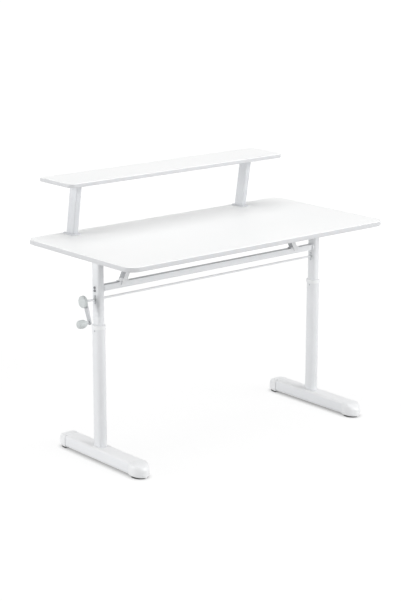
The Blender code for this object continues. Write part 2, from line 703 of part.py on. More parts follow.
# Crossbeam: a tube with a rounded plate welded on each end
beam_half = column_x - INNER_WIDTH / 2 - GAP
tube_half = beam_half - END_PLATE_THICK
plate = rounded(END_PLATE_DEPTH, END_PLATE_HEIGHT, END_PLATE_CORNER)
tube = rounded(BEAM_DEPTH, BEAM_HEIGHT, BEAM_CORNER)
hollow = rounded(BEAM_DEPTH - 2 * BEAM_WALL, BEAM_HEIGHT - 2 * BEAM_WALL, BEAM_CORNER - BEAM_WALL)
rings = [
    facing_x(plate, -beam_half),
    facing_x(plate, -tube_half),
    facing_x(tube, -tube_half),
    facing_x(tube, tube_half),
    facing_x(plate, tube_half),
    facing_x(plate, beam_half),
]
beam = piece("crossbeam", [(rings, False)], WHITE_PAINT, lift, (0.0, 0.0, beam_z))
work_on(beam, "hollow", [([facing_x(hollow, -tube_half), facing_x(hollow, tube_half)], False)])
holes = []
for rise in (BEAM_BOLT_RISE, -BEAM_BOLT_RISE):
    for start, stop in ((-column_x, END_PLATE_HOLE - tube_half), (tube_half - END_PLATE_HOLE, column_x)):
        holes.append(drum(BEAM_BOLT_SHANK + GAP, start, stop, "X", (0.0, 0.0, rise), 14))
work_on(beam, "bolt_holes", holes)

# Beam bolts: through both walls of the column into the beam's end plate
for side, sign in SIDES:
    for place, rise in (("high", BEAM_BOLT_RISE), ("low", -BEAM_BOLT_RISE)):
        start = sign * (INNER_WIDTH / 2 + GAP)
        length = INNER_WIDTH + 2 * GAP + END_PLATE_THICK
        beam_bolt = screw(BEAM_BOLT_SHANK, BEAM_BOLT_HEAD, BEAM_BOLT_HEIGHT, start, -sign, length, "X")
        at = (sign * column_x, 0.0, beam_z + rise)
        piece(f"beam_bolt_{side}_{place}", [beam_bolt], ZINC_STEEL, lift, at)

# Braces: a pressed channel that stands on the beam, laps over its front and leans in under the desktop
brace_low = beam_z + BEAM_HEIGHT / 2 + GAP
brace_rise = desk_underside - GAP - brace_low
half_width = BRACE_WIDTH / 2
half_depth = BEAM_DEPTH / 2 + GAP + BRACE_WALL
web_back = BRACE_WALL - half_depth
channel = (
    (-half_width, half_depth),
    (-half_width, -half_depth),
    (half_width, -half_depth),
    (half_width, half_depth),
    (half_width - BRACE_WALL, half_depth),
    (half_width - BRACE_WALL, web_back),
    (-half_width + BRACE_WALL, web_back),
    (-half_width + BRACE_WALL, half_depth),
)
web = channel[1:3] + ((half_width, web_back), (-half_width, web_back))
low_tab = rounded(BRACE_TAB, BEAM_DEPTH, BRACE_TAB_CORNER)
high_tab = rounded(BRACE_TAB, 2 * half_depth, BRACE_TAB_CORNER)
flare_back = BEAM_DEPTH / 2 - BRACE_TAB_CORNER
for side, sign in SIDES:
    lean = -sign * BRACE_LEAN / brace_rise

    def leaning(outline, height):
        return flat(outline, height, lean * height)

    # The flare curves from the outer side of the channel down to the tab.
    within = sign * (half_width - BRACE_WALL / 2)
    flare = [(within, BRACE_TAB_THICK / 2)]
    for step in range(ROUND_STEPS // 2 + 1):
        turn = math.pi * step / ROUND_STEPS
        height = BRACE_TAB_THICK / 2 + BRACE_FLARE * (1 - math.cos(turn))
        out = half_width + BRACE_FLARE * (1 - math.sin(turn))
        flare.append((sign * out + lean * height, height))
    flare.append((within + lean * height, height))

    at = (sign * (column_x - BRACE_INSET), 0.0, brace_low)
    rings = [leaning(channel, 0.0), leaning(channel, brace_rise)]
    brace = piece(f"brace_{side}", [(rings, False)], WHITE_PAINT, lift, at)
    under = flat(high_tab, brace_rise - BRACE_TAB_THICK, lean * brace_rise)
    tabs = [
        ([flat(low_tab, 0.0), flat(low_tab, BRACE_TAB_THICK)], False),
        ([under, flat(high_tab, brace_rise, lean * brace_rise)], False),
    ]
    work_on(brace, "tabs", tabs, "UNION")
    lap = [leaning(web, -BRACE_LAP), leaning(web, BRACE_TAB_THICK)]
    work_on(brace, "lap", [(lap, False)], "UNION")
    fillet = [facing_y(flare, -half_depth), facing_y(flare, flare_back)]
    work_on(brace, "flare", [(fillet, False)], "UNION")


# Desktop and shelf: a board inside a ring of edging
def board(name, length, depth, thick, corner, back_corner, at):
    inset = BAND_WIDTH + GAP
    outline = rounded(length - 2 * inset, depth - 2 * inset, corner - inset, back_corner - inset, BOARD_STEPS)
    piece(name, [([flat(outline, 0.0), flat(outline, thick)], False)], WHITE_LAMINATE, lift, at)

    def ring(inward, height):
        corners = (corner - inward, back_corner - inward)
        return flat(rounded(length - 2 * inward, depth - 2 * inward, *corners, BOARD_STEPS), height)

    rings = [
        ring(BAND_ROUND, 0.0),
        ring(0.0, BAND_ROUND),
        ring(0.0, thick - BAND_ROUND),
        ring(BAND_ROUND, thick),
        ring(BAND_WIDTH, thick),
        ring(BAND_WIDTH, 0.0),
    ]
    piece(f"{name}_edge", [(rings, True)], WHITE_EDGE, lift, at)


at = (DESK_SHIFT, 0.0, desk_underside)
board("desktop", DESK_LENGTH, DESK_DEPTH, DESK_THICK, DESK_FRONT_RADIUS, DESK_BACK_RADIUS, at)
shelf_underside = DESK_TOP + SHELF_RISE - SHELF_THICK
shelf_y = DESK_DEPTH / 2 + SHELF_OVERHANG - SHELF_DEPTH / 2
shelf_x = DESK_SHIFT + SHELF_SHIFT
at = (shelf_x, shelf_y, shelf_underside)
board("shelf", SHELF_LENGTH, SHELF_DEPTH, SHELF_THICK, SHELF_FRONT_RADIUS, SHELF_BACK_RADIUS, at)

# Shelf supports: a leaning tube between two plates, open at its foot
support_low = DESK_TOP + GAP
support_rise = shelf_underside - GAP - support_low
support_y = DESK_DEPTH / 2 - SUPPORT_INSET_BACK
left_support_x = shelf_x - SHELF_LENGTH / 2 + SUPPORT_INSET_LEFT
right_support_x = shelf_x + SHELF_LENGTH / 2 - SUPPORT_INSET_RIGHT
for side, support_x in (("left", left_support_x), ("right", right_support_x)):
    plate = rounded(PLATE_WIDTH, PLATE_DEPTH, PLATE_CORNER)
    tube = rounded(SUPPORT_WIDTH, SUPPORT_DEPTH, SUPPORT_CORNER)
    narrow = 2 * SUPPORT_WALL
    hollow = rounded(SUPPORT_WIDTH - narrow, SUPPORT_DEPTH - narrow, SUPPORT_CORNER - SUPPORT_WALL)
    rings = [
        flat(hollow, support_rise - PLATE_THICK, shift_y=-SUPPORT_LEAN),
        flat(hollow, 0.0),
        flat(plate, 0.0),
        flat(plate, PLATE_THICK),
        flat(tube, PLATE_THICK),
        flat(tube, support_rise - PLATE_THICK, shift_y=-SUPPORT_LEAN),
        flat(plate, support_rise - PLATE_THICK, shift_y=-SUPPORT_LEAN),
        flat(plate, support_rise, shift_y=-SUPPORT_LEAN),
    ]
    piece(f"shelf_support_{side}", [(rings, False)], WHITE_PAINT, lift, (support_x, support_y, support_low))
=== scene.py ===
import math

import bmesh
import bpy
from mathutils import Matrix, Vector, noise


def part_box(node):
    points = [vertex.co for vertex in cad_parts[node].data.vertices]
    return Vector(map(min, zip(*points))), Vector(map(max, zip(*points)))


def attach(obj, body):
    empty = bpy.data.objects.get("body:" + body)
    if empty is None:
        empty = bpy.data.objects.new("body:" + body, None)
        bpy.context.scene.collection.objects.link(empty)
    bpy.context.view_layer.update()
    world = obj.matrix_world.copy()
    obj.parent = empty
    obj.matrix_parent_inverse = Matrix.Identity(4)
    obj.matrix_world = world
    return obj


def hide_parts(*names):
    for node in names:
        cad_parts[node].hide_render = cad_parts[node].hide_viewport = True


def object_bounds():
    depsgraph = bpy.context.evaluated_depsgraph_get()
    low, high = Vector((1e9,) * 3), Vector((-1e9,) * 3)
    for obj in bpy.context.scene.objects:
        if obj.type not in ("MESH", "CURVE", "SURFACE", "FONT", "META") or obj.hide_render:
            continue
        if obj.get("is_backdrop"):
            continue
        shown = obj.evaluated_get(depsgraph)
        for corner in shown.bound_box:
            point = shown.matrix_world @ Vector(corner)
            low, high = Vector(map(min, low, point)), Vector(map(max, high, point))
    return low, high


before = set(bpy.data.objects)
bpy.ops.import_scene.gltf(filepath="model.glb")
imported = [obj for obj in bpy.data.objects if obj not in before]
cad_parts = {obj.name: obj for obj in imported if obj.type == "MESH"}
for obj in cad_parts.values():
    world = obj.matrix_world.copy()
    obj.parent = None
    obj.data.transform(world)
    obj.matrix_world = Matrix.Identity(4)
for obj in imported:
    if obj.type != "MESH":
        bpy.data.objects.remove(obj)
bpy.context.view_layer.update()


# DESKTOP BOARD
# A chipboard panel faced top and bottom with white melamine. It is sawn to shape, its corners are routed
# round, and it lies on the column top plates and the braces, screwed from below.

def linear(code):
    """An sRGB hex colour as a linear one."""
    parts = [int(code[at:at + 2], 16) / 255 for at in (0, 2, 4)]
    return [c / 12.92 if c <= 0.04045 else ((c + 0.055) / 1.055) ** 2.4 for c in parts] + [1.0]


def add(tree, kind, settings=None, feeds=None):
    """Adds a node, sets its properties, and links or sets its inputs."""
    made = tree.nodes.new(kind)
    for key, value in (settings or {}).items():
        setattr(made, key, value)
    for key, value in (feeds or {}).items():
        if isinstance(value, bpy.types.NodeSocket):
            tree.links.new(value, made.inputs[key])
        else:
            made.inputs[key].default_value = value
    return made


def finish_of(name, roughness, metallic=0.0, ior=None):
    """A new material, its nodes, its shader and the place on the piece, ready for a pattern."""
    material = bpy.data.materials.new(name)
    material.use_nodes = True
    tree = material.node_tree
    shader = tree.nodes["Principled BSDF"]
    shader.inputs["Roughness"].default_value = roughness
    shader.inputs["Metallic"].default_value = metallic
    if ior:
        shader.inputs["IOR"].default_value = ior
    return material, tree, shader, add(tree, "ShaderNodeTexCoord").outputs["Object"]


def surface(tree, shader, colour, grain, strength, depth, gloss=None):
    """Gives a finish its colour, and the relief and the two roughnesses of its grain."""
    tree.links.new(colour, shader.inputs["Base Color"])
    if gloss:
        smooth, rough = gloss
        sheen = add(tree, "ShaderNodeMapRange", feeds={"Value": grain, "To Min": smooth, "To Max": rough})
        tree.links.new(sheen.outputs[0], shader.inputs["Roughness"])
    relief = add(tree, "ShaderNodeBump", feeds={"Height": grain, "Strength": strength, "Distance": depth})
    tree.links.new(relief.outputs["Normal"], shader.inputs["Normal"])


def rounded(low, high, front_radius, back_radius=None, steps=12):
    """A rectangle's outline with rounded corners, counter-clockwise, between two corners."""
    back = front_radius if back_radius is None else back_radius
    quarters = ((high[0], high[1], -1, -1, back), (low[0], high[1], 1, -1, back),
                (low[0], low[1], 1, 1, front_radius), (high[0], low[1], -1, 1, front_radius))
    points = []
    for index, (corner_a, corner_b, inward_a, inward_b, radius) in enumerate(quarters):
        for step in range(steps + 1):
            turn = math.pi / 2 * (index + step / steps)
            points.append((corner_a + inward_a * radius + radius * math.cos(turn),
                           corner_b + inward_b * radius + radius * math.sin(turn)))
    return points


def level(outline, height):
    """An outline's points at one height."""
    return [(a, b, height) for a, b in outline]


def smooth_mesh(name, work, sharp):
    """A mesh from a bmesh, its faces outwards and smooth but for edges sharper than an angle in degrees."""
    bmesh.ops.recalc_face_normals(work, faces=work.faces)
    mesh = bpy.data.meshes.new(name)
    work.to_mesh(mesh)
    work.free()
    mesh.polygons.foreach_set("use_smooth", [True] * len(mesh.polygons))
    mesh.set_sharp_from_angle(angle=math.radians(sharp))
    return mesh


def skin(name, rings, material, looped=False, sharp=38.0, body=None, stands_for=()):
    """A closed shell through rings of points. It is capped at both ends, or joined into a loop."""
    work = bmesh.new()
    rows = [[work.verts.new(point) for point in ring] for ring in rings]
    for near, far in zip(rows, rows[1:] + rows[:1] if looped else rows[1:]):
        for index in range(len(near)):
            after = (index + 1) % len(near)
            work.faces.new((near[index], near[after], far[after], far[index]))
    if not looped:
        work.faces.new(rows[0])
        work.faces.new(rows[-1])
    mesh = smooth_mesh(name, work, sharp)
    mesh.materials.append(material)
    made = bpy.data.objects.new(name, mesh)
    bpy.context.scene.collection.objects.link(made)
    if body:
        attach(made, body)
    if stands_for:
        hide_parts(*stands_for)
    return made


# Melamine: a hard, faintly pearled white sheet. The eye sees a satin sheen broken by a fine grain.
# The pearl of a real sheet is about 0.4 mm, drawn at 2 mm so that it shows.
melamine, tree, shader, place = finish_of("white_melamine_sheet", roughness=0.42, ior=1.5)
pearl = add(tree, "ShaderNodeTexNoise",
            feeds={"Vector": place, "Scale": 500.0, "Detail": 3.0, "Roughness": 0.6}).outputs["Fac"]
cloud = add(tree, "ShaderNodeTexNoise", feeds={"Vector": place, "Scale": 4.0, "Detail": 2.0})
pearl_share = 0.35
mixed = add(tree, "ShaderNodeMath", {"operation": "MULTIPLY_ADD"},
            {0: pearl, 1: pearl_share, 2: cloud.outputs["Fac"]})
tint = add(tree, "ShaderNodeMapRange", feeds={"Value": mixed.outputs[0], "From Min": 0.35, "From Max": 1.0})
colour = add(tree, "ShaderNodeMix", {"data_type": "RGBA"},
             {0: tint.outputs[0], 6: linear("f6f7f7"), 7: linear("fafafa")})
surface(tree, shader, colour.outputs[2], pearl, strength=0.12, depth=0.0002, gloss=(0.36, 0.50))

board_corner_steps = 16


def board_level(low, high, inset, height, front_radius, back_radius):
    """A board's outline, set in from its CAD box, at one height."""
    inner_low = (low.x + inset, low.y + inset)
    inner_high = (high.x - inset, high.y - inset)
    outline = rounded(inner_low, inner_high, front_radius - inset, back_radius - inset, board_corner_steps)
    return level(outline, height)


def panel(name, front_radius, back_radius, arris):
    """A board with a small arris, fitted over the CAD board of the same name."""
    low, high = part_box(name)
    profile = ((arris, low.z), (0.0, low.z + arris), (0.0, high.z - arris), (arris, high.z))
    rings = [board_level(low, high, inset, height, front_radius, back_radius) for inset, height in profile]
    return skin(f"{name}_board", rings, melamine, body="lift", stands_for=(name,))


board_arris = 0.0003
panel("desktop", front_radius=0.0427, back_radius=0.0287, arris=board_arris)


# DESKTOP EDGING
# A strip of white ABS, 3 mm thick, glued round the board and trimmed flush. Its two arrises are scraped
# round.

# ABS strip: greyer than the melamine on its broad face, where scraper marks run round the board. Where it
# faces up, along the top arris, it is painted as white as the melamine: painted light, lighter on top than
# on the side. The marks of a real scraper are under 0.1 mm apart, drawn at 0.7 mm.
edge_abs, tree, shader, place = finish_of("white_abs_edging", roughness=0.38, ior=1.53)
stretch = add(tree, "ShaderNodeMapping", feeds={"Vector": place, "Scale": (20.0, 20.0, 1400.0)})
marks = add(tree, "ShaderNodeTexNoise",
            feeds={"Vector": stretch.outputs[0], "Scale": 1.0, "Detail": 2.0}).outputs["Fac"]
face = add(tree, "ShaderNodeMix", {"data_type": "RGBA"}, {0: marks, 6: linear("d2d3d5"), 7: linear("dadbdd")})
slope = add(tree, "ShaderNodeSeparateXYZ", feeds={0: add(tree, "ShaderNodeNewGeometry").outputs["Normal"]})
# Painted light: faces that tilt upward are drawn white, so the top arris is lighter than the upright face.
painted_top_light = add(tree, "ShaderNodeMapRange",
             feeds={"Value": slope.outputs["Z"], "From Min": 0.15, "From Max": 0.55})
colour = add(tree, "ShaderNodeMix", {"data_type": "RGBA"},
             {0: painted_top_light.outputs[0], 6: face.outputs[2], 7: linear("f8f9f9")})
surface(tree, shader, colour.outputs[2], marks, strength=0.15, depth=0.0001, gloss=(0.30, 0.46))


def edging(name, front_radius, back_radius, strip, arris):
    """A strip with two rounded arrises, fitted over the CAD edging of the same name."""
    low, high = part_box(name)
    arris_steps = 4
    turns = [math.pi / 2 * step / arris_steps for step in range(arris_steps + 1)]
    profile = [(arris - arris * math.sin(turn), low.z + arris - arris * math.cos(turn)) for turn in turns]
    profile += [(arris - arris * math.cos(turn), high.z - arris + arris * math.sin(turn)) for turn in turns]
    profile += [(strip, high.z), (strip, low.z)]
    rings = [board_level(low, high, inset, height, front_radius, back_radius) for inset, height in profile]
    return skin(f"{name}_strip", rings, edge_abs, looped=True, body="lift", stands_for=(name,))


strip_thickness = 0.003
edging("desktop_edge", front_radius=0.046, back_radius=0.032, strip=strip_thickness, arris=0.0027)


# SHELF
# A lighter board of the same melamine, 15 mm thick, edged like the desktop. It carries the monitor and is
# screwed from below to the top plates of its two supports.

panel("shelf", front_radius=0.0207, back_radius=0.0017, arris=board_arris)
edging("shelf_edge", front_radius=0.024, back_radius=0.005, strip=strip_thickness, arris=0.0026)


# SHELF SUPPORTS
# Two leaning rectangular steel tubes, each welded between a foot plate and a head plate, then powder coated
# white in one piece. Four domed socket screws hold each plate.

# Powder coat: a thick, even paint with the skin of an orange peel, whose bumps are about 1.5 mm across.
# The eye sees a soft, slightly wavy gloss. The supports' coat is greyer than the legs'. The feet's is
# whiter, painted light for the light that the desktop keeps off them. Faces across one axis can be painted
# darker: painted shade.
def powder_coat(name, darkest, lightest, painted_shade_axis=None, painted_shade_tones=("a3a5a8", "b1b3b6")):
    """A powder coat between two tones, and painted shade in two other tones on the faces across one axis."""
    coat, tree, shader, place = finish_of(name, roughness=0.34, ior=1.5)
    peel = add(tree, "ShaderNodeTexNoise",
               feeds={"Vector": place, "Scale": 650.0, "Detail": 1.5, "Roughness": 0.4}).outputs["Fac"]
    cloud = add(tree, "ShaderNodeTexNoise",
                feeds={"Vector": place, "Scale": 9.0, "Detail": 2.0}).outputs["Fac"]
    colour = add(tree, "ShaderNodeMix", {"data_type": "RGBA"},
                 {0: cloud, 6: linear(darkest), 7: linear(lightest)})
    # Painted shade: faces across the axis are drawn in the darker tones.
    if painted_shade_axis:
        normal = add(tree, "ShaderNodeNewGeometry").outputs["Normal"]
        facing = add(tree, "ShaderNodeSeparateXYZ", feeds={0: normal})
        across = add(tree, "ShaderNodeMath", {"operation": "ABSOLUTE"}, {0: facing.outputs[painted_shade_axis]})
        dust_and_painted_shade = add(tree, "ShaderNodeMapRange",
                   feeds={"Value": across.outputs[0], "From Min": 0.75, "From Max": 0.9})
        grey = add(tree, "ShaderNodeMix", {"data_type": "RGBA"},
                   {0: cloud, 6: linear(painted_shade_tones[0]), 7: linear(painted_shade_tones[1])})
        colour = add(tree, "ShaderNodeMix", {"data_type": "RGBA"},
                     {0: dust_and_painted_shade.outputs[0], 6: colour.outputs[2], 7: grey.outputs[2]})
    surface(tree, shader, colour.outputs[2], peel, strength=0.25, depth=0.0002, gloss=(0.28, 0.40))
    return coat


support_powder = powder_coat("grey_white_powder_coated_steel", "d6d8db", "dee0e3")

# Zinc plate: thin bright plating over turned or rolled steel, mottled in patches of a few millimetres.
zinc, tree, shader, place = finish_of("zinc_plated_steel", roughness=0.30, metallic=1.0)
patches = add(tree, "ShaderNodeTexVoronoi", feeds={"Vector": place, "Scale": 320.0})
speck = add(tree, "ShaderNodeTexNoise", feeds={"Vector": place, "Scale": 1500.0, "Detail": 2.0})
colour = add(tree, "ShaderNodeMix", {"data_type": "RGBA"},
             {0: patches.outputs["Distance"], 6: linear("b9bcc0"), 7: linear("d2d3d5")})
surface(tree, shader, colour.outputs[2], speck.outputs["Fac"], strength=0.1, depth=0.0001, gloss=(0.22, 0.44))


def bead(name, outline, height, size, body, material):
    """A weld bead along an outline. Its ripples are 2 mm apart, as a steady hand leaves them."""
    ripple = 0.002
    ripple_swell = 0.12
    unevenness = 0.1
    spacing = 0.0007
    sides = 6
    corners = [Vector((a, b, 0.0)) for a, b in outline]
    spots = []
    for near, far in zip(corners, corners[1:] + corners[:1]):
        count = max(1, round((far - near).length / spacing))
        spots += [near.lerp(far, step / count) for step in range(count)]
    middle = sum(spots, Vector()) / len(spots)
    rings = []
    run = 0.0
    for index, spot in enumerate(spots):
        after = spots[(index + 1) % len(spots)]
        ahead = after - spots[index - 1]
        outward = Vector((ahead.y, -ahead.x, 0.0)).normalized()
        if outward.dot(spot - middle) < 0:
            outward = -outward
        run += (after - spot).length
        wave = ripple_swell * math.sin(run / ripple * math.tau)
        swell = size * (1.0 + wave + unevenness * noise.noise(spot * 300))
        ring = []
        for step in range(sides):
            turn = math.tau * step / sides + 0.3
            rise = Vector((0.0, 0.0, math.sin(turn) * swell + height))
            ring.append(spot + outward * (math.cos(turn) * swell) + rise)
        rings.append(ring)
    return skin(name, rings, material, looped=True, sharp=80.0, body=body)


support_plate_thickness = 0.003
support_plate_depth = 0.064
support_plate_corner = 0.006
support_plate_arris = 0.0006
support_lean = 0.030
support_tube_half_width = 0.012
support_tube_half_depth = 0.022
support_tube_corner = 0.005
support_weld = 0.0011


def centred(middle_x, middle_y, half_x, half_y, radius, steps):
    """A rounded rectangle's outline about its middle."""
    low = (middle_x - half_x, middle_y - half_y)
    high = (middle_x + half_x, middle_y + half_y)
    return rounded(low, high, radius, steps=steps)


def support_tube(middle_x, middle_y):
    """The tube's outline about a middle."""
    half_width = support_tube_half_width
    half_depth = support_tube_half_depth
    return centred(middle_x, middle_y, half_width, half_depth, support_tube_corner, steps=8)


def grooved_tube(middle_x, middle_y):
    """The tube's outline with one shallow rolled groove in each broad face, 3 mm wide and 0.5 mm deep."""
    groove_depth = 0.0005
    groove = ((-0.0018, 0.0), (-0.0012, groove_depth), (0.0012, groove_depth), (0.0018, 0.0))
    outline = support_tube(middle_x, middle_y)
    marked = []
    for (a, b), (after_a, after_b) in zip(outline, outline[1:] + outline[:1]):
        marked.append((a, b))
        if abs(a - after_a) < 1e-6 and abs(b - after_b) > 2 * support_tube_corner:
            outer = 1 if a > middle_x else -1
            heading = 1 if after_b > b else -1
            marked += [(a - outer * depth, middle_y + heading * offset) for offset, depth in groove]
    return marked


def shelf_support(side):
    """The tube, its two plates and its welds. Returns the foot's middle and both plates' inner heights."""
    low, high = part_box(f"shelf_support_{side}")
    middle_x = (low.x + high.x) / 2
    foot_y = high.y - support_plate_depth / 2
    head_y = foot_y - support_lean
    foot_z = low.z + support_plate_thickness
    head_z = high.z - support_plate_thickness
    into_plate = 0.001
    rings = [level(grooved_tube(middle_x, foot_y), foot_z - into_plate),
             level(grooved_tube(middle_x, head_y), head_z + into_plate)]
    skin(f"shelf_tube_{side}", rings, support_powder, sharp=25.0, body="lift",
         stands_for=(f"shelf_support_{side}",))
    half_width = (high.x - low.x) / 2
    half_depth = support_plate_depth / 2
    arris = support_plate_arris
    thick = support_plate_thickness
    for name, base, plate_y in (("foot", low.z, foot_y), ("head", head_z, head_y)):
        rings = []
        for inset, height in ((arris, 0.0), (0.0, arris), (0.0, thick - arris), (arris, thick)):
            outline = centred(middle_x, plate_y, half_width - inset, half_depth - inset,
                              support_plate_corner, steps=8)
            rings.append(level(outline, base + height))
        skin(f"shelf_{name}_plate_{side}", rings, support_powder, body="lift")
    for name, weld_y, weld_z in (("foot", foot_y, foot_z), ("head", head_y, head_z)):
        outline = support_tube(middle_x, weld_y)
        bead(f"shelf_{name}_weld_{side}", outline, weld_z, support_weld, "lift", support_powder)
    return middle_x, foot_y, foot_z, head_z


def screw_head(name, radius, rise, socket, steps=24):
    """A domed head with a six-sided socket, facing up, its seat at zero."""
    work = bmesh.new()
    turns = [math.tau * step / steps for step in range(steps)]
    dome = ((1.0, 0.0), (1.0, 0.35), (0.93, 0.72), (0.74, 0.95), (0.60, 1.0))
    rows = []
    for across, up in dome:
        around = radius * across
        ring = [(around * math.cos(turn), around * math.sin(turn), rise * up) for turn in turns]
        rows.append([work.verts.new(point) for point in ring])
    for height in (rise, rise * 0.25):
        row = []
        for turn in turns:
            # The distance to the socket's nearest flat, in the direction of this turn.
            flat = socket * math.cos(math.pi / 6) / math.cos((turn % (math.pi / 3)) - math.pi / 6)
            row.append(work.verts.new((flat * math.cos(turn), flat * math.sin(turn), height)))
        rows.append(row)
    for near, far in zip(rows, rows[1:]):
        for step in range(steps):
            after = (step + 1) % steps
            work.faces.new((near[step], near[after], far[after], far[step]))
    work.faces.new(rows[0])
    work.faces.new(rows[-1])
    return bpy.data.objects.new(name, smooth_mesh(name, work, 35.0))


# One tree sets a screw on every marked point, facing one way and turned at random, as driven screws are.
screws = bpy.data.node_groups.new("screws_on_points", "GeometryNodeTree")
for name, kind in (("Points", "Geometry"), ("Screw", "Object"), ("Facing", "Vector"), ("Seed", "Int"),
                   ("Finish", "Material")):
    screws.interface.new_socket(name, in_out="INPUT", socket_type=f"NodeSocket{kind}")
screws.interface.new_socket("Geometry", in_out="OUTPUT", socket_type="NodeSocketGeometry")
entry = add(screws, "NodeGroupInput")
head = add(screws, "GeometryNodeObjectInfo", feeds={"Object": entry.outputs["Screw"]})
turns = add(screws, "FunctionNodeRandomValue", {"data_type": "FLOAT"},
            {2: 0.0, 3: math.tau, "Seed": entry.outputs["Seed"]})
spin = add(screws, "ShaderNodeCombineXYZ", feeds={"Z": turns.outputs[1]})
set_heads = add(screws, "GeometryNodeInstanceOnPoints",
                feeds={"Points": entry.outputs["Points"], "Instance": head.outputs["Geometry"],
                       "Rotation": entry.outputs["Facing"]})
spun = add(screws, "GeometryNodeRotateInstances",
           feeds={"Instances": set_heads.outputs[0], "Rotation": spin.outputs[0]})
real = add(screws, "GeometryNodeRealizeInstances", feeds={0: spun.outputs[0]})
painted = add(screws, "GeometryNodeSetMaterial",
              feeds={"Geometry": real.outputs[0], "Material": entry.outputs["Finish"]})
add(screws, "NodeGroupOutput", feeds={"Geometry": painted.outputs[0]})


def drive(name, points, facing, head_object, seed, material, body):
    """Screws on points, as one plain mesh."""
    mesh = bpy.data.meshes.new(name + "_points")
    mesh.from_pydata(points, [], [])
    holder = bpy.data.objects.new(name + "_points", mesh)
    bpy.context.scene.collection.objects.link(holder)
    step = holder.modifiers.new("screws", "NODES")
    step.node_group = screws
    values = {"Screw": head_object, "Facing": facing, "Seed": seed, "Finish": material}
    for item in screws.interface.items_tree:
        if item.in_out == "INPUT" and item.name in values:
            step[item.identifier] = values[item.name]
    evaluated = holder.evaluated_get(bpy.context.evaluated_depsgraph_get())
    solid = bpy.data.meshes.new_from_object(evaluated)
    bpy.data.objects.remove(holder)
    solid.name = name
    made = bpy.data.objects.new(name, solid)
    bpy.context.scene.collection.objects.link(made)
    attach(made, body)
    return made


wood_screw = screw_head("wood_screw_head", radius=0.0042, rise=0.0014, socket=0.0020)
facing_up = (0.0, 0.0, 0.0)
facing_down = (math.pi, 0.0, 0.0)
support_screws = [(a, b) for a in (-0.0125, 0.0125) for b in (-0.0270, 0.0270)]
head_seed = 5
for seed, side in enumerate(("left", "right")):
    middle_x, foot_y, foot_z, head_z = shelf_support(side)
    foot_points = [(middle_x + a, foot_y + b, foot_z) for a, b in support_screws]
    head_points = [(middle_x + a, foot_y - support_lean + b, head_z) for a, b in support_screws]
    drive(f"shelf_foot_screws_{side}", foot_points, facing_up, wood_screw, seed, zinc, "lift")
    drive(f"shelf_head_screws_{side}", head_points, facing_down, wood_screw, head_seed + seed, zinc, "lift")


# OUTER COLUMNS
# Rolled steel tube with well rounded corners, powder coated white, welded to a floor plate and bolted down
# on the foot. A plastic collar rides on its mouth and guides the inner column.

def dressed(node, material, body, bevel=0.0003, sharp=35.0):
    """A merged copy of a CAD node with its edges softened, in a new finish."""
    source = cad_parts[node]
    mesh = source.data.copy()
    work = bmesh.new()
    work.from_mesh(mesh)
    bmesh.ops.remove_doubles(work, verts=work.verts, dist=1e-6)
    bmesh.ops.dissolve_limit(work, angle_limit=math.radians(0.6), verts=work.verts, edges=work.edges)
    work.to_mesh(mesh)
    work.free()
    mesh.materials.clear()
    mesh.materials.append(material)
    mesh.polygons.foreach_set("use_smooth", [True] * len(mesh.polygons))
    mesh.set_sharp_from_angle(angle=math.radians(sharp))
    made = bpy.data.objects.new(f"{node}_finished", mesh)
    bpy.context.scene.collection.objects.link(made)
    if bevel:
        step = made.modifiers.new("soft_edges", "BEVEL")
        step.width = bevel
        step.segments = 2
        step.limit_method = "ANGLE"
        step.angle_limit = math.radians(sharp)
        step.harden_normals = True
    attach(made, body)
    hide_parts(node)
    return made


powder = powder_coat("white_powder_coated_steel", "e5e7e9", "edeef0")

# Moulded polypropylene: a satin white plastic with a fine spark-eroded grain, about 0.3 mm, drawn at 0.8 mm.
moulded, tree, shader, place = finish_of("white_moulded_polypropylene", roughness=0.45, ior=1.49)
grain = add(tree, "ShaderNodeTexNoise", feeds={"Vector": place, "Scale": 1250.0, "Detail": 2.0})
flow = add(tree, "ShaderNodeTexNoise",
           feeds={"Vector": place, "Scale": 30.0, "Detail": 3.0, "Distortion": 0.6})
colour = add(tree, "ShaderNodeMix", {"data_type": "RGBA"},
             {0: flow.outputs["Fac"], 6: linear("eff0f1"), 7: linear("f5f6f7")})
surface(tree, shader, colour.outputs[2], grain.outputs["Fac"], strength=0.2, depth=0.0001, gloss=(0.24, 0.36))

outer_corner = 0.016
outer_weld = 0.0012
outer_weld_rise = 0.0009
for side in ("left", "right"):
    dressed(f"outer_column_{side}", powder, "base")
    dressed(f"collar_{side}", moulded, "base")
    dressed(f"collar_screw_{side}", zinc, "base", bevel=0.0001)
    low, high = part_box(f"outer_column_{side}")
    outline = rounded((low.x, low.y), (high.x, high.y), outer_corner, steps=6)
    bead(f"column_weld_{side}", outline, low.z + outer_weld_rise, outer_weld, "base", powder)
    dressed(f"column_bolt_{side}", zinc, "base", bevel=0.0002)


# INNER COLUMNS
# Rectangular steel tube under a welded top plate, powder coated white. It slides in the outer column. The
# plate is screwed up into the desktop with eight wood screws.

inner_half_width = 0.014
inner_half_depth = 0.021
inner_corner = 0.010
inner_weld = 0.0013
top_plate_thickness = 0.003
top_plate_screws = [(a, b) for a in (-0.020, 0.020) for b in (-0.095, -0.045, 0.045, 0.095)]
top_plate_seed = 20
for seed, side in enumerate(("left", "right")):
    dressed(f"inner_column_{side}", powder, "lift")
    low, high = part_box(f"inner_column_{side}")
    plate_under = high.z - top_plate_thickness
    middle_x = (low.x + high.x) / 2
    middle_y = (low.y + high.y) / 2
    outline = centred(middle_x, middle_y, inner_half_width, inner_half_depth, inner_corner, steps=6)
    bead(f"top_plate_weld_{side}", outline, plate_under, inner_weld, "lift", powder)
    points = [(middle_x + a, middle_y + b, plate_under) for a, b in top_plate_screws]
    drive(f"top_plate_screws_{side}", points, facing_down, wood_screw, top_plate_seed + seed, zinc, "lift")
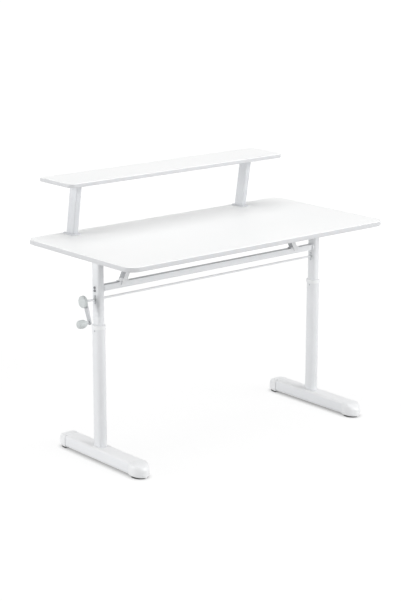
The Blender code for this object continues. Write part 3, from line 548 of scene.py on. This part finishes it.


# FEET
# A flat oval steel tube across the end of the desk, powder coated white, closed at each end by a domed
# plastic cap that stands on a dark rubber pad.

# Painted light and shade: the feet's coat is drawn whiter than the legs' for the light that the desktop keeps
# off them, and a little darker on the faces across X.
foot_powder = powder_coat("bright_white_powder_coated_steel", "f2f3f4", "f8f8f9",
                          painted_shade_axis="X", painted_shade_tones=("eceef0", "f2f3f5"))

# Rubber: near black, dusty and matt, with a coarse moulded grain of about 1 mm.
rubber, tree, shader, place = finish_of("black_moulded_rubber", roughness=0.85, ior=1.52)
grain = add(tree, "ShaderNodeTexNoise", feeds={"Vector": place, "Scale": 900.0, "Detail": 3.0})
dust_and_painted_shade = add(tree, "ShaderNodeTexNoise", feeds={"Vector": place, "Scale": 60.0, "Detail": 4.0})
colour = add(tree, "ShaderNodeMix", {"data_type": "RGBA"},
             {0: dust_and_painted_shade.outputs["Fac"], 6: linear("2b2b2c"), 7: linear("4a4a4a")})
surface(tree, shader, colour.outputs[2], grain.outputs["Fac"], strength=0.4, depth=0.0003)

# The tube's ends are cut short of the caps, which leaves the seam that the photo shows.
cap_seam = 0.0016
at_end = 0.0005
for side in ("left", "right"):
    tube = dressed(f"foot_{side}", foot_powder, "base", bevel=0.0008)
    along = [vertex.co.y for vertex in tube.data.vertices]
    front = min(along)
    back = max(along)
    for vertex in tube.data.vertices:
        if vertex.co.y - front < at_end:
            vertex.co.y += cap_seam
        elif back - vertex.co.y < at_end:
            vertex.co.y -= cap_seam
    for end in ("front", "back"):
        dressed(f"foot_cap_{side}_{end}", moulded, "base", bevel=0.0014, sharp=45.0)
        dressed(f"foot_pad_{side}_{end}", rubber, "base", bevel=0.0006)


# CROSSBEAM AND BRACES
# A rectangular steel tube with a rounded plate welded on each end, bolted between the inner columns with two
# socket screws a side. Two pressed steel channels lean inwards from its top to the desktop's underside.

# Phosphated steel: the thin dark grey skin of the crossbeam's bolts, a little worn, mottled at 2 mm.
phosphated, tree, shader, place = finish_of("phosphated_steel", roughness=0.45, metallic=0.5)
wear = add(tree, "ShaderNodeTexNoise", feeds={"Vector": place, "Scale": 500.0, "Detail": 3.0}).outputs["Fac"]
colour = add(tree, "ShaderNodeMix", {"data_type": "RGBA"}, {0: wear, 6: linear("7c7e81"), 7: linear("97999c")})
surface(tree, shader, colour.outputs[2], wear, strength=0.1, depth=0.0001, gloss=(0.36, 0.58))

# The beam's top and underside and the braces' sides across X are drawn dull grey: painted shade.
beam_powder = powder_coat("powder_coated_beam_steel", "eef0f2", "f5f6f8", painted_shade_axis="Z")
brace_powder = powder_coat("powder_coated_brace_steel", "e9eaec", "f1f2f3", painted_shade_axis="X")
dressed("crossbeam", beam_powder, "lift")
for side in ("left", "right"):
    dressed(f"brace_{side}", brace_powder, "lift", bevel=0.0004)
    for spot in ("high", "low"):
        dressed(f"beam_bolt_{side}_{spot}", phosphated, "lift", bevel=0.0002)


# DRIVE
# A drawn hexagonal steel rod runs from the crank through both inner columns. It turns in grey plastic bushes
# and in cast aluminium housings, where bevel gears pass the motion to the two lead screws.

# Grey-green ABS: the colour of the crank's plastic parts, matt, with a fine moulded grain.
grey_abs, tree, shader, place = finish_of("grey_moulded_abs", roughness=0.5, ior=1.53)
grain = add(tree, "ShaderNodeTexNoise", feeds={"Vector": place, "Scale": 1250.0, "Detail": 2.0})
flow = add(tree, "ShaderNodeTexNoise", feeds={"Vector": place, "Scale": 45.0, "Detail": 3.0})
colour = add(tree, "ShaderNodeMix", {"data_type": "RGBA"},
             {0: flow.outputs["Fac"], 6: linear("c8cdcd"), 7: linear("d3d7d7")})
surface(tree, shader, colour.outputs[2], grain.outputs["Fac"], strength=0.25, depth=0.0001, gloss=(0.42, 0.60))

# Cast aluminium: dull and grainy, with sand-cast pits of about 1 mm.
cast, tree, shader, place = finish_of("cast_aluminium", roughness=0.55, metallic=1.0)
pits = add(tree, "ShaderNodeTexNoise", feeds={"Vector": place, "Scale": 900.0, "Detail": 4.0}).outputs["Fac"]
colour = add(tree, "ShaderNodeMix", {"data_type": "RGBA"}, {0: pits, 6: linear("a6a8aa"), 7: linear("c4c6c8")})
surface(tree, shader, colour.outputs[2], pits, strength=0.5, depth=0.0003)

# Brass: a turned yellow metal with fine rings round its axis.
brass, tree, shader, place = finish_of("turned_brass", roughness=0.32, metallic=1.0)
stretch = add(tree, "ShaderNodeMapping", feeds={"Vector": place, "Scale": (30.0, 30.0, 2000.0)})
rings = add(tree, "ShaderNodeTexNoise",
            feeds={"Vector": stretch.outputs[0], "Scale": 1.0, "Detail": 2.0}).outputs["Fac"]
colour = add(tree, "ShaderNodeMix", {"data_type": "RGBA"},
             {0: rings, 6: linear("b08a3c"), 7: linear("cfa955")})
surface(tree, shader, colour.outputs[2], rings, strength=0.2, depth=0.0001)

# Drawn bright steel: pale and satin, with die lines along the rod about 0.3 mm apart, drawn at 1 mm.
drawn, tree, shader, place = finish_of("bright_drawn_steel", roughness=0.42, metallic=0.2)
stretch = add(tree, "ShaderNodeMapping", feeds={"Vector": place, "Scale": (12.0, 1000.0, 1000.0)})
lines = add(tree, "ShaderNodeTexNoise",
            feeds={"Vector": stretch.outputs[0], "Scale": 1.0, "Detail": 2.0}).outputs["Fac"]
colour = add(tree, "ShaderNodeMix", {"data_type": "RGBA"},
             {0: lines, 6: linear("e6e7e9"), 7: linear("f1f2f3")})
surface(tree, shader, colour.outputs[2], lines, strength=0.15, depth=0.0001, gloss=(0.34, 0.52))

dressed("drive_rod", drawn, "crank", bevel=0.0002)
for name in ("left_outer", "left_inner", "right_inner"):
    dressed(f"rod_bush_{name}", grey_abs, "lift")

# What stays inside the columns keeps its CAD shape and is given its finish.
inside = {"gear_housing": cast, "thrust_bearing": zinc, "slide_bush": grey_abs, "lead_nut": brass,
          "nut_post": zinc, "lead_screw": zinc, "driven_gear": zinc, "drive_gear": zinc}
for side in ("left", "right"):
    for spot in ("high", "low"):
        dressed(f"housing_screw_{side}_{spot}", zinc, "lift", bevel=0.0002)
    for name, material in inside.items():
        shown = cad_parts[f"{name}_{side}"]
        shown.data.materials.clear()
        shown.data.materials.append(material)


# CRANK
# A round moulded hub caps the rod's end. The flat steel arm behind it carries a riveted pin, and the
# moulded knob, fatter towards its free end, turns on that pin.

dressed("crank_hub", grey_abs, "crank", bevel=0.0004)
arm_powder = powder_coat("grey_powder_coated_steel", "c3c5c8", "cdcfd2")
dressed("crank_arm", arm_powder, "crank", bevel=0.0005)
dressed("crank_knob", grey_abs, "knob", bevel=0.0, sharp=50.0)


# STUDIO
# A pale floor, an even surround of soft light, three large lamps, and a camera at the photograph's angle.
# The surround is dimmer as a light than it looks.

def sight(tree):
    """One for the rays that the camera sees, also by a reflection or through glass, and else zero."""
    rays = add(tree, "ShaderNodeLightPath")
    direct = add(tree, "ShaderNodeMath", {"operation": "MAXIMUM"},
                 {0: rays.outputs["Is Camera Ray"], 1: rays.outputs["Is Glossy Ray"]})
    either = add(tree, "ShaderNodeMath", {"operation": "MAXIMUM"},
                 {0: direct.outputs[0], 1: rays.outputs["Is Transmission Ray"]})
    return either.outputs[0]


scene = bpy.context.scene
scene.view_settings.view_transform = "Standard"
world = bpy.data.worlds.new("soft_surround")
scene.world = world
world.use_nodes = True
tree = world.node_tree
tree.nodes.clear()
paper_white = (1.0, 1.0, 1.0, 1.0)
soft = add(tree, "ShaderNodeBackground", feeds={"Color": paper_white, "Strength": 0.30})
white = add(tree, "ShaderNodeBackground", feeds={"Color": paper_white, "Strength": 1.0})
both = add(tree, "ShaderNodeMixShader", feeds={0: sight(tree), 1: soft.outputs[0], 2: white.outputs[0]})
add(tree, "ShaderNodeOutputWorld", feeds={"Surface": both.outputs[0]})

# Where it is seen, most of the floor's white is its own, a little more far away. It keeps a faint cast shadow,
# and its own white is painted darker within 28 mm of whatever stands on it: a painted contact shadow.
floor_material, tree, shader, place = finish_of("pale_studio_floor", roughness=0.9)
drift = add(tree, "ShaderNodeTexNoise", feeds={"Vector": place, "Scale": 1.5})
colour = add(tree, "ShaderNodeMix", {"data_type": "RGBA"},
             {0: drift.outputs["Fac"], 6: linear("dcdcdc"), 7: linear("e0e0e0")})
tree.links.new(colour.outputs[2], shader.inputs["Base Color"])
shader.inputs["Specular IOR Level"].default_value = 0.0
away = add(tree, "ShaderNodeVectorMath", {"operation": "LENGTH"}, {0: place})
own_white = add(tree, "ShaderNodeMapRange",
                feeds={"Value": away.outputs["Value"], "From Min": 1.2, "From Max": 4.0,
                       "To Min": 0.90, "To Max": 1.0})
# Painted contact shadow: the floor's own white darkens where something stands close above it.
near = add(tree, "ShaderNodeAmbientOcclusion", {"samples": 8}, {"Distance": 0.028})
painted_contact_shadow = add(tree, "ShaderNodeMapRange",
                feeds={"Value": near.outputs["AO"], "From Min": 0.0, "From Max": 0.80,
                       "To Min": 0.30, "To Max": 1.0})
own = add(tree, "ShaderNodeEmission", feeds={"Color": painted_contact_shadow.outputs[0], "Strength": own_white.outputs[0]})
faint = add(tree, "ShaderNodeBsdfDiffuse", feeds={"Color": linear("626262")})
lit = add(tree, "ShaderNodeAddShader", feeds={0: faint.outputs[0], 1: own.outputs[0]})
shown = add(tree, "ShaderNodeMixShader", feeds={0: sight(tree), 1: shader.outputs[0], 2: lit.outputs[0]})
tree.links.new(shown.outputs[0], tree.nodes["Material Output"].inputs["Surface"])
reach = 30.0
corners = [(-reach, -reach, 0.0), (reach, -reach, 0.0), (reach, reach, 0.0), (-reach, reach, 0.0)]
mesh = bpy.data.meshes.new("floor")
mesh.from_pydata(corners, [], [(0, 1, 2, 3)])
mesh.materials.append(floor_material)
floor = bpy.data.objects.new("floor", mesh)
scene.collection.objects.link(floor)
floor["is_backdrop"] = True

# Each lamp's name, place, target, size in metres and power in watts.
for name, spot, aim, size, watts in (
    ("overhead", (0.0, -0.1, 7.0), (0.0, 0.0, 0.6), 6.0, 200.0),
    ("front", (3.2, -6.4, 3.7), (0.0, 0.0, 0.4), 4.0, 355.0),
    ("back_left", (-7.4, 2.6, 1.8), (0.0, 0.0, 0.4), 4.0, 310.0),
):
    data = bpy.data.lights.new(name, "AREA")
    data.shape = "SQUARE"
    data.size = size
    data.energy = watts
    lamp = bpy.data.objects.new(name, data)
    lamp.location = spot
    lamp.rotation_euler = (Vector(aim) - Vector(spot)).to_track_quat("-Z", "Y").to_euler()
    scene.collection.objects.link(lamp)

camera_place = (-3.8217, -4.5112, 2.0348)
camera_turn = -40.1
camera_height_angle = 14.6
camera_data = bpy.data.cameras.new("camera")
camera_data.sensor_width = 36.0
camera_data.lens = 99.67
camera = bpy.data.objects.new("camera", camera_data)
camera.location = camera_place
camera.rotation_euler = (math.radians(90.0 - camera_height_angle), 0.0, math.radians(camera_turn))
scene.collection.objects.link(camera)
scene.camera = camera

low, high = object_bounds()
